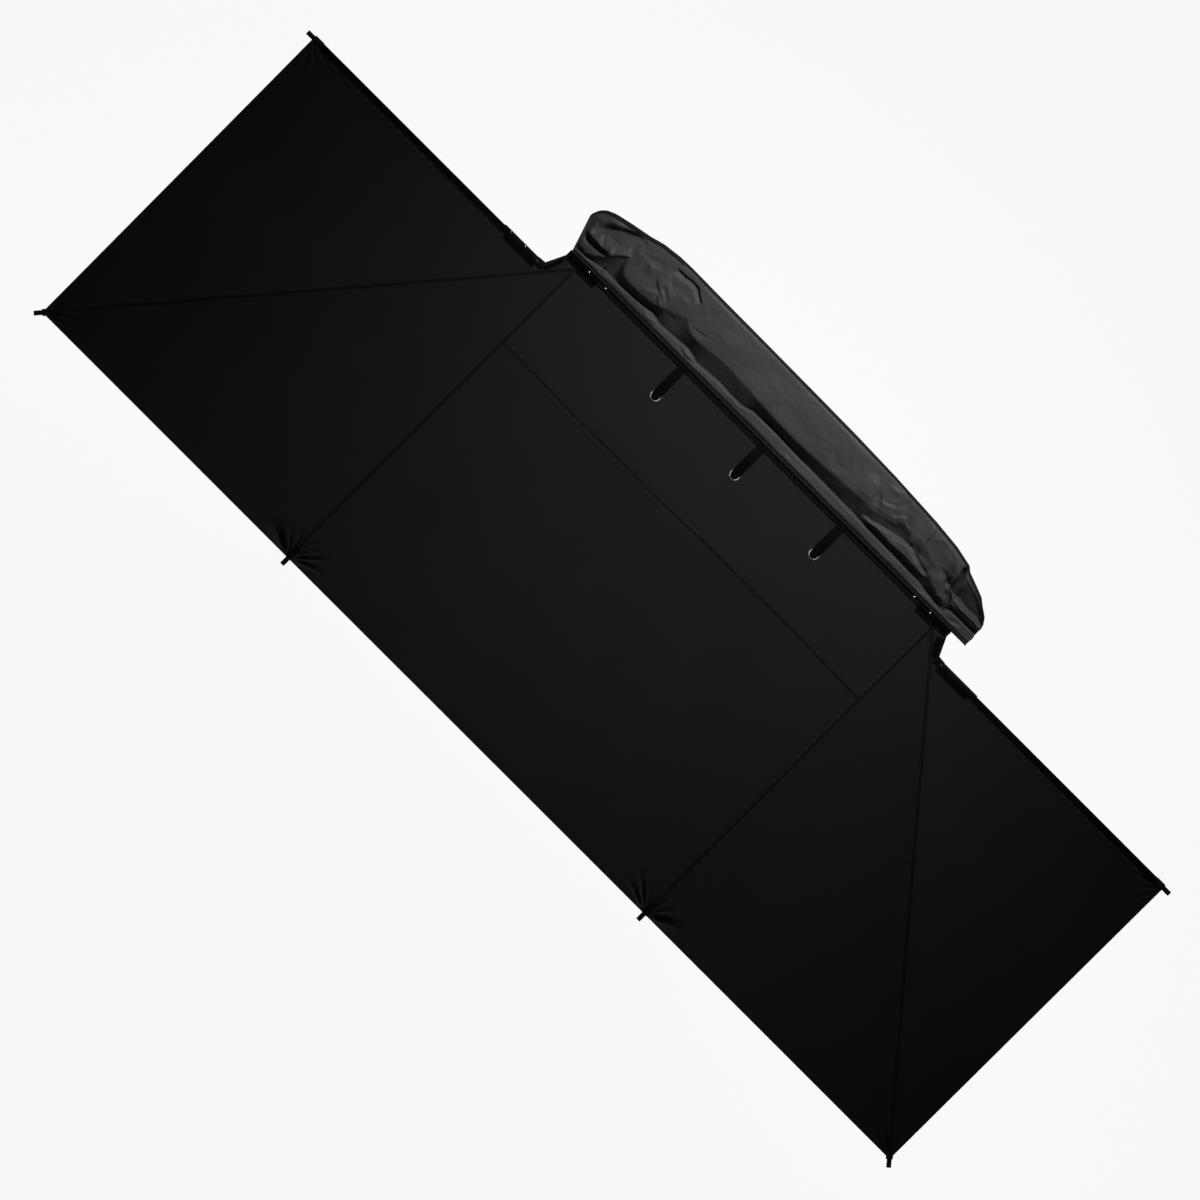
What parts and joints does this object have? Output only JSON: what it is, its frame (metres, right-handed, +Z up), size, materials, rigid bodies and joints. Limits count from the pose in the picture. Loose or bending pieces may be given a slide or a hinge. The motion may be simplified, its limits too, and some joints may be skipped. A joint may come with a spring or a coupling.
{
  "type": "vehicle side awning",
  "caption": "Free-standing side awning for a roof rack: back beam, hinged knuckles with folding arms at both ends, wide canopy and a cover bag turned back over the rack.",
  "frame": {"origin": "middle of the centre rack bracket's flat face on the rack", "axes": "+X along the vehicle towards its front, +Y outward from the vehicle, +Z up"},
  "size_m": [5.48, 2.2223, 0.2974],
  "materials": {
    "black_anodised": "black anodised, satin",
    "black_coat": "cast, black powder coat",
    "black_coat_steel": "black powder coat on steel",
    "stainless": "bright stainless steel",
    "black_nylon": "moulded, fine texture",
    "canopy_canvas": "black woven canvas, matt",
    "bag_cloth": "coated cloth, satin sheen",
    "webbing": "black woven webbing",
    "welt_cord": "cloth over a cord",
    "zip_tape": "black zip tape with nylon teeth"
  },
  "bodies": {
    "frame": {"back_beam": "black_anodised", "front_knuckle": "black_coat", "front_knuckle_plate": "black_coat", "front_cross_pivot": "stainless", "front_corner_pivot": "stainless", "front_wing_pivot": "stainless", "front_beam_screw_1": "stainless", "front_beam_screw_2": "stainless", "rear_knuckle": "black_coat", "rear_knuckle_plate": "black_coat", "rear_cross_pivot": "stainless", "rear_corner_pivot": "stainless", "rear_wing_pivot": "stainless", "rear_beam_screw_1": "stainless", "rear_beam_screw_2": "stainless", "rack_bracket_front": "black_coat_steel", "mount_bolt_front": "stainless", "mount_nut_front": "stainless", "tie_strap_front": "webbing", "eyelet_front": "stainless", "rack_bracket_middle": "black_coat_steel", "mount_bolt_middle": "stainless", "mount_nut_middle": "stainless", "tie_strap_middle": "webbing", "eyelet_middle": "stainless", "rack_bracket_rear": "black_coat_steel", "mount_bolt_rear": "stainless", "mount_nut_rear": "stainless", "tie_strap_rear": "webbing", "eyelet_rear": "stainless", "canopy_centre": "canopy_canvas", "canopy_welt": "welt_cord", "bag_welt": "welt_cord"},
    "front_cross_arm": {"front_cross_socket": "black_coat", "front_cross_tube": "black_anodised", "front_cross_tip": "black_nylon", "canopy_front_corner": "canopy_canvas"},
    "front_corner_arm": {"front_corner_socket": "black_coat", "front_corner_tube": "black_anodised", "front_corner_tip": "black_nylon"},
    "front_wing_arm": {"front_wing_socket": "black_coat", "front_wing_tube": "black_anodised", "front_wing_tip": "black_nylon", "canopy_front_wing": "canopy_canvas"},
    "rear_cross_arm": {"rear_cross_socket": "black_coat", "rear_cross_tube": "black_anodised", "rear_cross_tip": "black_nylon", "canopy_rear_corner": "canopy_canvas"},
    "rear_corner_arm": {"rear_corner_socket": "black_coat", "rear_corner_tube": "black_anodised", "rear_corner_tip": "black_nylon"},
    "rear_wing_arm": {"rear_wing_socket": "black_coat", "rear_wing_tube": "black_anodised", "rear_wing_tip": "black_nylon", "canopy_rear_wing": "canopy_canvas"},
    "cover_bag": {"bag": "bag_cloth", "bag_zip": "zip_tape"},
    "slider": {"zip_slider": "stainless"}
  },
  "joints": [
    {"name": "front_cross_fold", "type": "hinge", "parent": "frame", "child": "front_cross_arm", "pos_m": [1.135, 0.1163, 0.00193], "axis": [0, 0.0785, 0.9969], "range_deg": [0, 90], "deforming": ["canopy_centre", "canopy_front_corner", "canopy_front_wing", "canopy_rear_corner", "canopy_rear_wing", "tie_strap_front", "tie_strap_middle", "tie_strap_rear"]},
    {"name": "front_corner_fold", "type": "hinge", "parent": "frame", "child": "front_corner_arm", "pos_m": [1.178, 0.1543, -0.00106], "axis": [0, 0.0785, 0.9969], "range_deg": [0, 130.54]},
    {"name": "front_wing_fold", "type": "hinge", "parent": "frame", "child": "front_wing_arm", "pos_m": [1.285, 0.1923, -0.00405], "axis": [0, 0.0785, 0.9969], "range_deg": [0, 180]},
    {"name": "rear_cross_fold", "type": "hinge", "parent": "frame", "child": "rear_cross_arm", "pos_m": [-1.135, 0.1163, -0.05607], "axis": [0, 0.0785, 0.9969], "range_deg": [-90, 0]},
    {"name": "rear_corner_fold", "type": "hinge", "parent": "frame", "child": "rear_corner_arm", "pos_m": [-1.178, 0.1543, -0.05906], "axis": [0, 0.0785, 0.9969], "range_deg": [-130.54, 0]},
    {"name": "rear_wing_fold", "type": "hinge", "parent": "frame", "child": "rear_wing_arm", "pos_m": [-1.285, 0.1923, -0.06205], "axis": [0, 0.0785, 0.9969], "range_deg": [-180, 0]},
    {"name": "bag_flip", "type": "hinge", "parent": "frame", "child": "cover_bag", "pos_m": [0, 0.0528, 0.033], "axis": [-1, 0, 0], "range_deg": [0, 150]},
    {"name": "zip_slide", "type": "slide", "parent": "cover_bag", "child": "slider", "axis": [-1, 0, 0], "range_m": [0, 2]}
  ],
  "couplings": [
    {"joint": "front_corner_fold", "follows": "front_cross_fold", "ratio": 1.4504},
    {"joint": "front_wing_fold", "follows": "front_cross_fold", "ratio": 2},
    {"joint": "rear_cross_fold", "follows": "front_cross_fold", "ratio": -1},
    {"joint": "rear_corner_fold", "follows": "front_cross_fold", "ratio": -1.4504},
    {"joint": "rear_wing_fold", "follows": "front_cross_fold", "ratio": -2}
  ]
}
